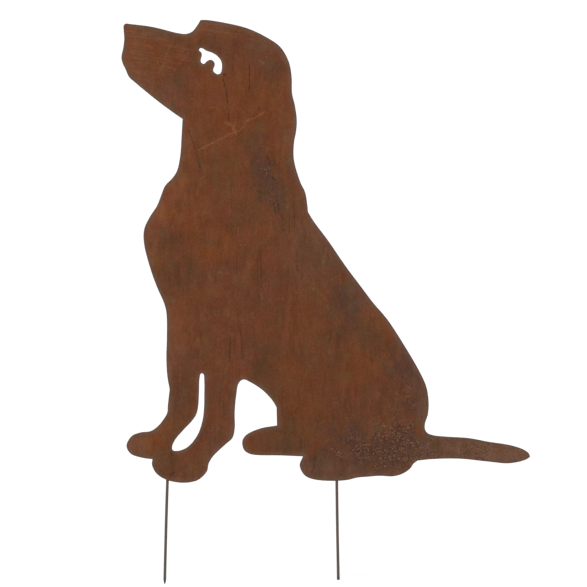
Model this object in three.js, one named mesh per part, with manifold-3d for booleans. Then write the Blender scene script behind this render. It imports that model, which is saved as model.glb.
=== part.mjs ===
// A garden stake: the silhouette of a sitting dog, cut from rusted sheet steel, on two wire spikes.
//
// Millimetres, +Z up. The dog looks towards -X, and its seen face is towards -Y.
// The origin is on the ground line, midway between the two spikes and in the plane of their axes.
// What lies below z = 0 is pushed into the soil until the soles of the paws meet it.
import * as THREE from "three";
import Module from "manifold-3d";
import { mergeVertices } from "three/addons/utils/BufferGeometryUtils.js";

// The figure, from the sole of the near front paw to the top of the brow.
const FIGURE_HEIGHT = 500;
const SHEET_THICKNESS = 1.5;

// The spikes are round wire. Each leans a little, with its foot where the ground line is.
const SPIKE_DIAMETER = 3.2;
const SPIKE_OVERLAP = 52; // the stretch that is welded to the back of the sheet, above the ground line
const FRONT_SPIKE_DEPTH = 109;
const REAR_SPIKE_DEPTH = 105;
const FRONT_SPIKE_LEAN = 1.7; // degrees, the tip towards the nose
const REAR_SPIKE_LEAN = -0.75; // degrees, the tip towards the tail
const FRONT_TIP_TAPER = 0.8; // the front one is cut to a blunt point, this much off its radius
const FRONT_TIP_LENGTH = 5;
const REAR_TIP_TAPER = 0.2; // the rear one is sheared off nearly square
const REAR_TIP_LENGTH = 0.8;
const SPIKE_SIDES = 20;

// Two tack welds hold each spike. A tack is a low dome across the wire, toeing out on the sheet.
const WELD_LENGTH = 11;
const WELD_TOE = 3; // how far it spreads on the sheet, past each side of the wire
const WELD_COVER = 1.2; // how far it rises over the wire
const TOP_WELD_INSET = 8; // from the wire's upper end down to the upper tack
const FOOT_WELD_HEIGHT = 13; // from the ground line up to the lower tack
const WELD_SIDES = 20;
const WELD_RINGS = 10;

// Pieces that touch keep this gap, so that they never share volume.
const CONTACT_GAP = 0.3;
const SHEET_BACK = -SPIKE_DIAMETER / 2 - CONTACT_GAP; // the y of the sheet's back face

// The outline is drawn in thousandths of the figure's height: x from the origin, z from the ground line.
const UNIT = FIGURE_HEIGHT / 1000;
const FRONT_SPIKE_X = -183 * UNIT;
const REAR_SPIKE_X = 183 * UNIT;
const STEPS_PER_SPAN = 4;

// Each stretch is a smooth curve through a few points of the profile, and two stretches meet in a corner.
// They follow one another round the figure, from the brow down the face and back over the tail.
const FACE = [
  [-112, 1000], [-120, 987], [-130, 975], [-143, 970], [-158, 971], [-216, 985], [-262, 991],
  [-274, 992], [-278, 988], [-278, 975], [-277, 960], [-279, 940], [-283, 918], [-279, 903],
  [-275, 895], [-266, 876], [-255, 866], [-209, 828], [-173, 801], [-151, 786],
];
const THROAT_AND_CHEST = [
  [-151, 786], [-153, 751], [-156, 707], [-162, 677], [-170, 662], [-189, 641], [-195, 627],
  [-206, 599], [-222, 574], [-234, 547], [-234, 516], [-219, 458], [-205, 420], [-192, 391],
  [-187, 374], [-185, 355], [-185, 308], [-186, 269], [-184, 232], [-179, 202],
];
const FAR_FRONT_LEG = [
  [-179, 202], [-183, 165], [-184, 152], [-193, 136], [-205, 122], [-220, 112], [-242, 109],
  [-261, 101], [-272, 80], [-263, 63], [-238, 54], [-216, 51],
];
const NEAR_FRONT_LEG = [
  [-216, 51], [-217, 39], [-208, 21], [-187, 7], [-152, 0], [-122, 4], [-109, 12], [-98, 25],
  [-94, 42], [-85, 57], [-58, 83], [-43, 97], [-38, 117], [-38, 151], [-35, 187], [-29, 216],
  [-19, 223], [-4, 217], [22, 200], [43, 178], [52, 163],
];
const SHANK = [[52, 163], [53, 124]];
const FAR_HIND_FOOT = [
  [53, 124], [22, 119], [-3, 110], [-16, 101], [-22, 89], [-18, 71], [-7, 63], [8, 60],
  [61, 59], [109, 57],
];
const NEAR_HIND_FOOT = [
  [109, 57], [102, 38], [112, 17], [130, 8], [171, 4], [205, 6], [226, 11], [248, 13],
  [275, 15], [303, 14], [323, 19], [341, 31], [348, 41], [357, 48],
];
const TAIL_BELOW = [
  [357, 48], [387, 51], [447, 52], [507, 46], [552, 42], [582, 47], [596, 53], [600, 57],
];
const TAIL_ABOVE_AND_BACK = [
  [600, 57], [597, 64], [584, 73], [555, 82], [510, 89], [466, 97], [419, 100], [391, 103],
  [378, 108], [373, 116], [373, 128], [379, 147], [381, 172], [376, 207], [362, 239], [324, 304],
  [291, 354], [262, 388], [234, 425], [201, 469], [164, 523], [132, 566], [121, 584],
];
const NAPE_AND_CROWN = [
  [121, 584], [114, 628], [104, 649], [90, 698], [90, 733], [95, 762], [96, 786], [92, 815],
  [86, 841], [85, 876], [79, 909], [61, 941], [30, 963], [-11, 982], [-55, 993], [-99, 1000],
  [-112, 1000],
];
const OUTLINE = [
  FACE, THROAT_AND_CHEST, FAR_FRONT_LEG, NEAR_FRONT_LEG, SHANK, FAR_HIND_FOOT, NEAR_HIND_FOOT,
  TAIL_BELOW, TAIL_ABOVE_AND_BACK, NAPE_AND_CROWN,
];

// The two cut-outs are closed curves: the glint that stands for the eye, and the slit between the front legs.
const EYE = [
  [-112, 939], [-107, 938], [-101, 934], [-85, 928], [-74, 920], [-67, 909], [-66, 895],
  [-69, 885], [-76, 883], [-84, 889], [-84, 895], [-81, 903], [-84, 911], [-91, 914],
  [-98, 911], [-105, 905], [-111, 909], [-111, 916], [-109, 924], [-110, 929], [-115, 935],
];
const LEG_SLIT = [
  [-111, 236], [-106, 235], [-104, 217], [-104, 195], [-105, 156], [-109, 130], [-118, 105],
  [-133, 84], [-146, 74], [-163, 69], [-172, 71], [-173, 79], [-166, 94], [-149, 114],
  [-131, 133], [-121, 148], [-117, 165], [-115, 200], [-114, 226],
];

const RUST = { color: 0x67402b, roughness: 0.85, metalness: 0.1 };
const SPIKE_RUST = { color: 0x5c4637, roughness: 0.8, metalness: 0.15 };
const WELD_RUST = { color: 0x4a3a33, roughness: 0.7, metalness: 0.25 };

const wasm = await Module();
wasm.setup();

// A closed three.js geometry as a manifold-3d solid, and back again.
function toSolid(geometry) {
  const bare = geometry.clone();
  bare.deleteAttribute("normal");
  bare.deleteAttribute("uv");
  const merged = mergeVertices(bare, 1e-4);
  return new wasm.Manifold(
    new wasm.Mesh({
      numProp: 3,
      vertProperties: merged.attributes.position.array,
      triVerts: new Uint32Array(merged.index.array),
    }),
  );
}

function toGeometry(solid) {
  const mesh = solid.getMesh();
  const geometry = new THREE.BufferGeometry();
  geometry.setAttribute("position", new THREE.BufferAttribute(mesh.vertProperties, 3));
  geometry.setIndex(new THREE.BufferAttribute(mesh.triVerts, 1));
  geometry.computeVertexNormals();
  return geometry;
}

// The points of one smooth curve, in millimetres. A stretch of two points stays a straight line.
function curvePoints(stretch, closed) {
  const knots = stretch.map(([x, z]) => new THREE.Vector3(x * UNIT, z * UNIT, 0));
  if (knots.length === 2) return knots;
  const curve = new THREE.CatmullRomCurve3(knots, closed, "centripetal");
  const spans = closed ? knots.length : knots.length - 1;
  return curve.getPoints(spans * STEPS_PER_SPAN);
}

// The figure as a flat shape with its two cut-outs.
function figureShape() {
  const rim = OUTLINE.flatMap((stretch) => curvePoints(stretch, false).slice(0, -1));
  const shape = new THREE.Shape(rim.map((p) => new THREE.Vector2(p.x, p.y)));
  for (const cutOut of [EYE, LEG_SLIT]) {
    const edge = curvePoints(cutOut, true).slice(0, -1);
    shape.holes.push(new THREE.Path(edge.map((p) => new THREE.Vector2(p.x, p.y))));
  }
  return shape;
}

// The sheet stands upright, with its back just clear of the wire.
function dogSheet() {
  const geometry = new THREE.ExtrudeGeometry(figureShape(), {
    depth: SHEET_THICKNESS,
    bevelEnabled: false,
    curveSegments: 1,
  });
  geometry.rotateX(Math.PI / 2);
  geometry.translate(0, SHEET_BACK, 0);
  const mesh = new THREE.Mesh(geometry, new THREE.MeshStandardMaterial(RUST));
  mesh.name = "dog_silhouette";
  return mesh;
}

// One spike along its own axis, from its tip up to its welded end, with z = 0 at the ground line.
function wireGeometry(depth, tipTaper, tipLength) {
  const profile = [
    new THREE.Vector2(0, -depth),
    new THREE.Vector2(SPIKE_DIAMETER / 2 - tipTaper, -depth),
    new THREE.Vector2(SPIKE_DIAMETER / 2, -depth + tipLength),
    new THREE.Vector2(SPIKE_DIAMETER / 2, SPIKE_OVERLAP),
    new THREE.Vector2(0, SPIKE_OVERLAP),
  ];
  return new THREE.LatheGeometry(profile, SPIKE_SIDES).rotateX(Math.PI / 2);
}

function spikeMesh(name, depth, tipTaper, tipLength) {
  const solid = toSolid(wireGeometry(depth, tipTaper, tipLength));
  const mesh = new THREE.Mesh(toGeometry(solid), new THREE.MeshStandardMaterial(SPIKE_RUST));
  mesh.name = name;
  return mesh;
}

// A tack weld: a dome about the wire, hollowed for the wire and cut off flat where the sheet is.
function tackGeometry() {
  const halfWidth = SPIKE_DIAMETER / 2 + WELD_TOE;
  const rise = SPIKE_DIAMETER + WELD_COVER;
  const dome = new THREE.SphereGeometry(1, WELD_SIDES, WELD_RINGS);
  dome.scale(halfWidth, rise, WELD_LENGTH / 2);
  dome.translate(0, SHEET_BACK, 0);
  const sheetSide = new THREE.BoxGeometry(4 * halfWidth, 2 * rise, 2 * WELD_LENGTH);
  sheetSide.translate(0, SHEET_BACK + CONTACT_GAP - rise, 0);
  const wire = new THREE.CylinderGeometry(
    SPIKE_DIAMETER / 2 + CONTACT_GAP,
    SPIKE_DIAMETER / 2 + CONTACT_GAP,
    2 * WELD_LENGTH,
    SPIKE_SIDES,
  ).rotateX(Math.PI / 2);
  return toGeometry(toSolid(dome).subtract(toSolid(sheetSide)).subtract(toSolid(wire)));
}

function tackMesh(name, height) {
  const mesh = new THREE.Mesh(tackGeometry(), new THREE.MeshStandardMaterial(WELD_RUST));
  mesh.name = name;
  mesh.position.z = height;
  return mesh;
}

// A spike with its two tack welds, leaning about the point where it meets the ground line.
function spikeGroup(name, x, lean, depth, tipTaper, tipLength) {
  const group = new THREE.Group();
  group.add(
    spikeMesh(`${name}_spike`, depth, tipTaper, tipLength),
    tackMesh(`${name}_spike_upper_weld`, SPIKE_OVERLAP - TOP_WELD_INSET),
    tackMesh(`${name}_spike_lower_weld`, FOOT_WELD_HEIGHT),
  );
  group.position.x = x;
  group.rotation.y = THREE.MathUtils.degToRad(lean);
  return group;
}

const gardenStake = new THREE.Group();
gardenStake.add(
  dogSheet(),
  spikeGroup(
    "front", FRONT_SPIKE_X, FRONT_SPIKE_LEAN, FRONT_SPIKE_DEPTH, FRONT_TIP_TAPER, FRONT_TIP_LENGTH,
  ),
  spikeGroup(
    "rear", REAR_SPIKE_X, REAR_SPIKE_LEAN, REAR_SPIKE_DEPTH, REAR_TIP_TAPER, REAR_TIP_LENGTH,
  ),
);

export default gardenStake;
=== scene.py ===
import math

import bmesh
import bpy
import numpy as np
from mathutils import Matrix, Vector, kdtree, noise
from mathutils.geometry import delaunay_2d_cdt


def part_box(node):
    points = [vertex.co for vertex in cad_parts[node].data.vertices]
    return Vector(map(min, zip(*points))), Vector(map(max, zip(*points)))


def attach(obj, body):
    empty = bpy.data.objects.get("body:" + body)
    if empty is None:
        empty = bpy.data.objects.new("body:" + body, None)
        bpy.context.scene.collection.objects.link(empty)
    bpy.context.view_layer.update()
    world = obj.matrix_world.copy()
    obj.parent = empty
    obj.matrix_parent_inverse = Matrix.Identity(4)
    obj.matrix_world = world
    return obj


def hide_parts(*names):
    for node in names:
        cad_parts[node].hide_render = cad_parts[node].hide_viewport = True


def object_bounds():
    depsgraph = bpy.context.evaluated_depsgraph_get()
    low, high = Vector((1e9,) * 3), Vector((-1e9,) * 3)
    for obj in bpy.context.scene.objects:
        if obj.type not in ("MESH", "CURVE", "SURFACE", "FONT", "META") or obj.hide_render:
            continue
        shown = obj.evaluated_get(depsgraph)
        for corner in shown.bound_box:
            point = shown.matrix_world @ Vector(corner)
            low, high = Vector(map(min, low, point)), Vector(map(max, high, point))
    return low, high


# A rusted garden stake: the flat silhouette of a sitting dog on two wire spikes.
#
# The frame gives every place and size. This script gives the pieces their fine shape and their rust.
# The dog looks towards -X and its seen face is towards -Y. Lengths whose name ends in MM are
# millimetres, and so are the stains and lines, which are placed by x and by height over the ground line.
# A pair of lengths is where a thing begins and where it is full, unless a comment says otherwise.
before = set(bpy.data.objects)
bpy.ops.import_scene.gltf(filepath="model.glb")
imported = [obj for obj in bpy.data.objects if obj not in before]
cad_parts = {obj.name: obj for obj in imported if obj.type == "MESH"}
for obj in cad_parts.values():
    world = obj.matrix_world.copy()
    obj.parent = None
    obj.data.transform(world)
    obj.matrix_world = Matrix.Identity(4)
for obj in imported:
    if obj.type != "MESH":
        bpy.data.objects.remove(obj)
CAD_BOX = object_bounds()
MM = 0.001

# The camera sees the figure squarely, from far enough off that nothing shows in perspective.
VIEW_CENTRE = (0.0444, 0.2045)
VIEW_WIDTH = 0.6339
CAMERA_DISTANCE = 6.0
SENSOR_WIDTH_MM = 36

# The studio: an even white sky, a white floor just under the spikes, and one soft lamp in front.
SKY_STRENGTH = 1.07
FLOOR_HALF_WIDTH = 3.0
FLOOR_GAP_MM = 0.2
FLOOR_WHITE = (0.98, 0.98, 0.98, 1)
FLOOR_ROUGHNESS = 0.9
LAMP_PLACE = (-0.9, -2.0, 1.5)
LAMP_SIZE = 1.6
LAMP_ENERGY = 18

# The sheet's mesh: how closely its faces are divided, and the section of its cut edge, as pairs of
# millimetres in from the cut and share of the way from the seen face to the back.
GRID_STEP_MM = 1.8
GRID_JITTER_MM = 0.25
GRID_CLEARANCE_MM = 0.9
GRID_SEED = 7
CUT_STEP_MM = 0.8
CUT_SECTION = [(0.45, 0.0), (0.15, 0.04), (0.0, 0.2), (0.04, 0.5), (0.0, 0.8), (0.14, 0.97), (0.45, 1.0)]
CUT_WAVER_MM = 0.1

# How far the sheet's faces dip: slow waves, pits in the crust and a share of them elsewhere, and
# scratches. The waves and pits set in between two distances from the cut.
SHEET_DIP_MM = 0.07
CRUST_DIP_MM = 0.09
BARE_PIT_SHARE = 0.25
DIP_FROM_CUT_MM = (0.4, 3)
SCRATCH_DEPTH_MM = 0.06

# How the frame's outline is read: corners that turn by more degrees stay sharp, points that lie closer
# are one, a normal's y below the limit is the seen face's, and the triangulation's two settings.
CORNER_TURN = 27
SAME_POINT_MM = 0.01
SEEN_NORMAL_Y = -0.9
TRIANGLES_INSIDE = 1
TRIANGULATION_GAP = 1e-7

# Noise on the meshes: the size of its features in millimetres, its seed and its octaves. One step of
# the seed moves it by NOISE_SHIFT, and the back's is taken a metre deeper than the seen face's.
NOISE_SHIFT = (7.31, 3.77, 5.13)
NOISE_ROUGHNESS = 0.6
NOISE_LACUNARITY = 2.0
CUT_NOISE = (2.5, 1, 3)
STAIN_NOISE = (13, 2, 3)
BACK_STAIN_NOISE = (16, 3, 3)
WAVE_NOISE = (45, 4, 2)
PIT_NOISE = (4.5, 5, 3)
LINE_NOISE = (3.5, 6, 3)
WANDER_NOISES = [(9, 7, 3), (9, 8, 3)]
BACK_NOISE_DEPTH = 1.0

# The wires: their sides and rings; at the ends two closer rings, a rounding, and how far the middle of
# the tip and of the top is sunk; the band that the frame's corners are in; the pinch, the dark tip and pits.
WIRE_SIDES = 28
WIRE_RING_GAP_MM = 0.8
WIRE_END_RINGS_MM = (0.2, 0.5)
WIRE_END_ROUNDING = 0.88
WIRE_END_SINK_MM = (0.1, 0.05)
WIRE_END_BAND_MM = 0.15
WIRE_PINCH_START_MM = -0.2
WIRE_DARK_TIP_MM = (9, 1)
WIRE_PIT_MM = 0.07
WIRE_PIT_SIZE_MM = 2.2

# The welds: their mesh, their ripples, which bend at the sides, their lumps, how sharply both end at the
# rim and how deep the root may go; the tint of their heat on the sheet; and the beads of spatter beside
# them, whose radii go from least to most.
WELDS = [f"{spike}_spike_{end}_weld" for spike in ("front", "rear") for end in ("upper", "lower")]
WELD_SEED = 21
WELD_TURNS = 48
WELD_RINGS = 22
WELD_RIPPLES = 4
WELD_RIPPLE_BEND = 0.35
WELD_RIPPLE_MM = 0.3
WELD_LUMP_MM = 0.3
WELD_LUMP_SIZE_MM = 3.5
WELD_RIM_POWER = 4
WELD_ROOT_MM = 0.05
HEAT_REACH_MM = (16, 4)
HEAT_RAGGEDNESS_MM = 2.5
SPATTER_TRIES = 60
SPATTER_RADIUS_MM = (0.2, 0.45)
SPATTER_FROM_WELD = 1.04
SPATTER_MARGIN = 2
SPATTER_TURNS = 10
SPATTER_RINGS = 4

# Stains on the seen face: place, x, height, half width, half height, strength and, where it leans, the
# lean of its top to the left in degrees. Ash is the dull grey-brown rust, olive the dark one that keeps
# its colour.
ASH_STAINS = [
    ("ear, upper", 9, 343, 9, 28, 0.45, 6),
    ("ear, lower", 22, 317, 11, 20, 0.8, 14),
    ("ear, core", 18, 331, 8, 15, 0.5, 12),
    ("ear, middle", 5, 352, 7, 14, 0.35, 4),
    ("nape to back", 50, 284, 6, 16, 0.35, 14),
    ("back edge", 84, 251, 11, 37, 0.4, 35),
    ("middle of the back", 102, 197, 15, 20, 0.85, 10),
    ("middle of the back, core", 107, 192, 11, 15, 0.3, 10),
    ("behind the middle", 111, 173, 14, 11, 0.15),
    ("rump, upper", 168, 127, 14, 17, 0.95, 20),
    ("rump, edge", 182, 94, 10, 28, 0.8, 8),
    ("haunch, middle", 107, 50, 22, 13, 0.85),
    ("haunch, rear", 160, 44, 30, 17, 0.95),
    ("haunch, sole", 120, 26, 46, 14, 0.7),
    ("haunch, low", 130, 33, 58, 21, 0.4),
    ("haunch, toe", 70, 17, 19, 10, 0.75),
    ("tail root", 206, 41, 24, 10, 0.5),
    ("nose ridge", -99, 487, 16, 5, 0.35, -8),
    ("far front leg", -81, 94, 9, 20, 0.35),
    ("rump, low", 177, 80, 9, 12, 0.5),
    ("rump, inner", 164, 76, 11, 14, 0.4),
    ("back, upper edge", 58, 246, 9, 22, 0.3, 32),
    ("neck, back edge", 45, 338, 7, 18, 0.4),
    ("tail", 222, 38, 30, 10, 0.35),
    ("sole", 100, 13, 70, 9, 0.5),
    ("far leg, above the slit", -70, 129, 12, 14, 0.3),
    ("far leg, by the slit", -68, 70, 6, 12, 0.3),
    ("head, top", -4, 479, 24, 10, 0.3, -20),
    ("head, back", 24, 440, 10, 22, 0.3),
    ("chin", -92, 416, 12, 8, 0.3),
    ("rump, above", 164, 142, 8, 9, 0.6, 20),
    ("near ankle", -42, 38, 7, 9, 0.4),
    ("rump, fore", 150, 96, 24, 22, 0.25),
    ("around the eye", -42, 466, 34, 14, 0.2),
    ("back, inner", 61, 235, 22, 20, 0.2),
    ("below the tail root", 194, 39, 14, 10, 0.5),
    ("near foreleg, low", -41, 52, 16, 10, 0.3),
    ("near foreleg", -39, 99, 8, 13, 0.3),
    ("feet", -86, 40, 17, 14, 0.15),
    ("ribs, front", -30, 231, 9, 12, 0.25),
    ("chest edge", -104, 261, 9, 9, 0.35),
    ("chest, low", -94, 216, 9, 11, 0.3),
    ("throat edge", -64, 382, 7, 14, 0.2),
    ("temple", 6, 456, 8, 9, 0.25),
    ("shank, low", 35, 38, 14, 7, 0.3),
]
OLIVE_STAINS = [
    ("ear", 14, 330, 13, 36, 0.7, 10),
    ("below the ear", 33, 286, 5, 19, 0.6, 8),
    ("behind the middle", 106, 160, 24, 13, 0.6),
    ("flank", 132, 150, 14, 14, 0.5, -10),
    ("thigh, front", 86, 132, 14, 16, 0.2),
    ("knee", 74, 84, 42, 32, 0.4),
    ("loin, low", 10, 193, 30, 24, 0.45),
    ("belly, rear", 52, 136, 11, 11, 0.35),
    ("brow", -46, 477, 11, 10, 0.55),
    ("below the shoulder", -50, 258, 16, 6, 0.2),
    ("chest, upper", -85, 262, 13, 14, 0.7),
    ("chest, lower", -74, 226, 17, 16, 0.85),
    ("cheek", -80, 428, 13, 13, 0.5),
    ("throat line", -81, 405, 14, 7, 0.3, -35),
    ("crown", 12, 474, 14, 7, 0.2, -20),
    ("back of the head", 23, 449, 11, 11, 0.7),
    ("behind the eye", -24, 456, 6, 11, 0.5),
    ("far front leg", -81, 96, 9, 20, 0.65),
    ("belly", 12, 145, 20, 10, 0.6),
    ("belly, low", 8, 124, 12, 12, 0.9),
    ("hind foot", 41, 37, 17, 7, 0.7),
    ("near front paw", -88, 21, 10, 11, 0.45),
    ("neck", -13, 297, 8, 17, 0.4),
    ("throat", -34, 337, 9, 11, 0.35),
    ("haunch, sole", 120, 26, 43, 12, 0.6),
    ("haunch", 118, 60, 34, 14, 0.4),
    ("neck, fore", -7, 366, 8, 15, 0.4),
    ("temple", -5, 457, 8, 11, 0.4),
    ("cheek, upper", -63, 456, 8, 11, 0.4),
    ("jaw line", -80, 432, 7, 9, 0.4),
    ("nape edge", 60, 268, 7, 10, 0.35, 10),
    ("shoulder, low", -48, 222, 11, 7, 0.35),
    ("ribs, front", -16, 240, 14, 8, 0.35),
    ("loin, upper", 28, 216, 7, 9, 0.35),
    ("shank", 48, 45, 7, 11, 0.45),
    ("near foreleg, slit", -46, 85, 5, 10, 0.5),
    ("ear, front", 8, 322, 7, 13, 0.4),
    ("thigh, low", 126, 84, 12, 18, 0.35),
    ("head, rear", 1, 424, 7, 8, 0.4),
    ("shoulder", -50, 264, 11, 8, 0.45),
    ("throat, low", -26, 322, 9, 9, 0.5),
    ("belly, rear edge", 24, 106, 8, 13, 0.5),
    ("flank", 121, 164, 8, 12, 0.45),
    ("shank, upper", 31, 64, 9, 13, 0.55),
    ("loin, band", 28, 174, 9, 8, 0.45),
    ("thigh, middle", 94, 89, 10, 9, 0.5),
    ("knee, low", 64, 64, 7, 6, 0.35),
    ("haunch, pocket", 118, 39, 5, 7, 0.4),
    ("loin, fore", 56, 206, 5, 7, 0.4),
    ("rump, above", 166, 137, 8, 9, 0.35),
    ("groin", 63, 134, 5, 7, 0.4),
    ("loin to thigh", 60, 130, 50, 70, 0.15),
    ("shank to knee", 42, 55, 30, 22, 0.25),
]
# Ember is the fresher, orange rust.
EMBER_STAINS = [
    ("muzzle", -110, 470, 14, 10, 0.55),
    ("cheek", -45, 427, 11, 17, 0.45),
    ("behind the cheek", 17, 414, 10, 10, 0.8),
    ("jaw", -20, 384, 6, 5, 0.5),
    ("shoulder", -37, 257, 19, 15, 0.7),
    ("below the shoulder", -45, 242, 15, 8, 0.7),
    ("front of the shoulder", -67, 280, 9, 6, 0.5),
    ("chest", -102, 280, 9, 5, 0.6, 30),
    ("ribs", 12, 271, 13, 9, 0.35),
    ("thigh", 117, 128, 18, 24, 0.55),
    ("thigh, low", 118, 96, 20, 14, 0.5),
    ("belly, rear", 41, 121, 10, 12, 0.7),
    ("knee", 60, 86, 11, 14, 0.7),
    ("knee, low", 82, 68, 16, 14, 0.5),
    ("forehead", -45, 491, 14, 6, 0.4, -8),
    ("loin", 49, 186, 13, 13, 0.35),
    ("foreleg, upper", -81, 165, 11, 17, 0.3),
    ("far front paw", -112, 43, 18, 11, 0.65),
    ("above the slit", -53, 121, 5, 5, 0.5),
    ("jaw and neck", 0, 400, 36, 36, 0.45),
    ("head", -30, 440, 70, 44, 0.25),
    ("throat", -20, 345, 20, 30, 0.25),
    ("collar", -72, 274, 24, 20, 0.3),
    ("nose", -130, 468, 12, 20, 0.3),
    ("muzzle, low", -108, 452, 12, 8, 0.4),
    ("withers", 22, 296, 10, 8, 0.5),
    ("below the throat", -55, 302, 14, 10, 0.4),
    ("loin, band", 20, 170, 30, 9, 0.35),
    ("foreleg, top", -81, 180, 11, 12, 0.35),
    ("thigh and knee", 55, 86, 26, 44, 0.5),
    ("loin, low", 46, 160, 36, 18, 0.25),
    ("shoulder, upper", -51, 270, 15, 15, 0.3),
    ("muzzle, front", -118, 471, 13, 17, 0.2),
    ("thigh, inner", 97, 115, 14, 10, 0.3),
    ("shoulder, low", -56, 203, 11, 9, 0.3),
]
FAIR_STAINS = [
    ("collar", -97, 290, 13, 28, 0.8, -20),
    ("chest edge", -104, 278, 10, 24, 0.9),
    ("throat edge", -68, 374, 8, 20, 0.5),
    ("nose", -130, 474, 11, 22, 0.55),
    ("behind the shoulder", 38, 262, 12, 18, 0.2, 12),
    ("neck edge", -82, 322, 8, 16, 0.5, -10),
    ("throat, low", -34, 341, 12, 6, 0.4),
    ("back of the cheek", 30, 427, 12, 9, 0.4),
    ("ribs", -7, 217, 8, 9, 0.4),
    ("ribs, front", -38, 206, 8, 8, 0.4),
    ("lip", -99, 446, 7, 7, 0.5),
    ("collar, inner", -75, 287, 11, 9, 0.45),
    ("far leg, top", -78, 126, 12, 14, 0.2),
    ("loin, stroke", 49, 207, 20, 4, 0.35),
    ("far leg, low", -86, 68, 9, 15, 0.45),
    ("thigh, front", 68, 107, 8, 10, 0.4),
    ("haunch, upper", 142, 58, 12, 12, 0.4),
    ("croup", 143, 168, 12, 14, 0.5),
    ("chest, front", -80, 170, 12, 34, 0.3),
    ("ear edge", 40, 376, 8, 18, 0.3),
    ("haunch", 163, 69, 9, 9, 0.55),
    ("near ankle", -33, 58, 9, 10, 0.4),
    ("foreleg, top", -82, 179, 11, 11, 0.5),
    ("chest, low edge", -102, 240, 8, 9, 0.5),
    ("forehead", -55, 491, 9, 6, 0.5),
    ("haunch, centre", 131, 60, 10, 9, 0.8),
    ("sole, rear", 132, 17, 11, 6, 0.4),
    ("sole, front", 84, 29, 9, 6, 0.4),
    ("temple", 16, 453, 7, 7, 0.4),
    ("withers", 25, 298, 7, 7, 0.6),
    ("behind the cheek", 23, 425, 6, 6, 0.5),
    ("throat edge, wide", -62, 372, 12, 26, 0.35),
    ("thigh, top", 78, 124, 6, 7, 0.4),
    ("belly, rear", 24, 133, 6, 7, 0.4),
    ("forehead, rear", -26, 487, 14, 7, 0.4, -8),
    ("far front ankle", -99, 50, 10, 9, 0.4),
]
# Dust is the paler bloom, crust the stretch where the rust is rough and flecked, and brushed the part
# of the head where the streaks run across, with a lighter painted sheen laid along them.
DUST_STAINS = [
    ("tail root", 218, 39, 26, 11, 0.5),
    ("tail", 258, 32, 42, 12, 0.7, -7),
    ("haunch, toe", 70, 17, 20, 11, 0.12),
    ("muzzle", -122, 450, 12, 20, 0.3),
    ("forehead", -40, 493, 16, 6, 0.4, -8),
    ("foreleg", -80, 162, 9, 20, 0.15),
    ("nape edge", 76, 262, 9, 26, 0.4, 32),
    ("behind the shoulder", 42, 258, 15, 28, 0.12, 12),
    ("haunch, rear", 176, 36, 12, 16, 0.15),
    ("crown", 14, 472, 12, 9, 0.3, -20),
    ("far front paw", -127, 43, 12, 12, 0.45),
    ("rump edge", 184, 78, 7, 18, 0.3, 8),
    ("tail tip", 278, 31, 30, 10, 1.0),
    ("sole", 94, 12, 60, 8, 0.3),
    ("cheek", -86, 420, 16, 18, 0.3),
    ("nose", -131, 480, 9, 18, 0.2),
    ("nose ridge", -107, 483, 14, 6, 0.4, -8),
    ("near front paw, heel", -56, 13, 9, 6, 0.3),
    ("near front paw, toe", -100, 26, 8, 8, 0.3),
    ("back, low", 122, 196, 8, 8, 0.3),
    ("far leg, upper", -84, 137, 9, 11, 0.2),
    ("back edge", 74, 239, 8, 9, 0.3),
    ("back edge, low", 107, 213, 8, 8, 0.3),
    ("haunch edge", 173, 107, 9, 8, 0.35),
    ("collar edge", -103, 277, 9, 8, 0.35),
    ("tail tip, end", 284, 29, 14, 7, 0.5),
    ("throat edge", -69, 368, 6, 12, 0.35),
    ("chin", -111, 427, 6, 7, 0.3),
    ("haunch, centre", 131, 60, 9, 8, 0.45),
    ("haunch, inner", 102, 31, 6, 9, 0.3),
    ("temple", 16, 452, 7, 6, 0.3),
    ("foreleg, edge", -89, 195, 6, 7, 0.3),
    ("ear edge", 39, 374, 7, 10, 0.35),
]
CRUST_STAINS = [
    ("haunch", 140, 33, 46, 20, 0.95),
    ("haunch, rear", 150, 58, 24, 14, 0.75),
    ("rump", 164, 92, 16, 28, 0.5, 10),
    ("tail", 250, 33, 52, 13, 0.62, -6),
    ("ear", 16, 330, 12, 34, 0.45, 9),
    ("ear, flecks", 15, 341, 5, 9, 0.5, 10),
    ("ear, foot", 21, 308, 10, 9, 0.28),
    ("above the scratch", 1, 400, 14, 7, 0.55, -20),
    ("chin", -88, 412, 14, 7, 0.4, -35),
    ("back edge", 92, 250, 10, 44, 0.3, 35),
    ("near front paw", -84, 18, 16, 14, 0.4),
    ("muzzle", -116, 466, 15, 18, 0.3),
]
BRUSHED_STAINS = [
    ("muzzle", -106, 464, 38, 24, 0.95, -8),
    ("forehead", -30, 490, 46, 10, 0.7, -8),
    ("shoulder", -46, 250, 26, 20, 0.3),
]
# The whole brown leans to moss green in some stretches, and to maroon in others.
MOSS_STAINS = [
    ("loin", 72, 216, 20, 32, 0.5, 20),
    ("back, low", 122, 187, 13, 24, 0.7, 30),
    ("croup", 87, 152, 16, 16, 0.4),
    ("rump", 175, 83, 12, 18, 0.5),
    ("haunch", 137, 36, 30, 24, 0.4),
    ("tail", 240, 36, 54, 12, 0.5, -6),
    ("hind foot", 18, 46, 24, 14, 0.5),
    ("feet", -87, 34, 26, 30, 0.45),
    ("far leg, by the slit", -66, 97, 6, 22, 0.6),
    ("throat", -54, 344, 15, 15, 0.5),
    ("nose ridge", -81, 479, 34, 8, 0.5, -8),
    ("crown", 9, 471, 14, 10, 0.5, -20),
    ("nape", 46, 312, 10, 27, 0.5, 10),
    ("chest edge", -102, 236, 10, 36, 0.4),
    ("belly, low", 26, 101, 12, 16, 0.4),
    ("foreleg, top", -37, 151, 9, 14, 0.4),
]
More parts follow.
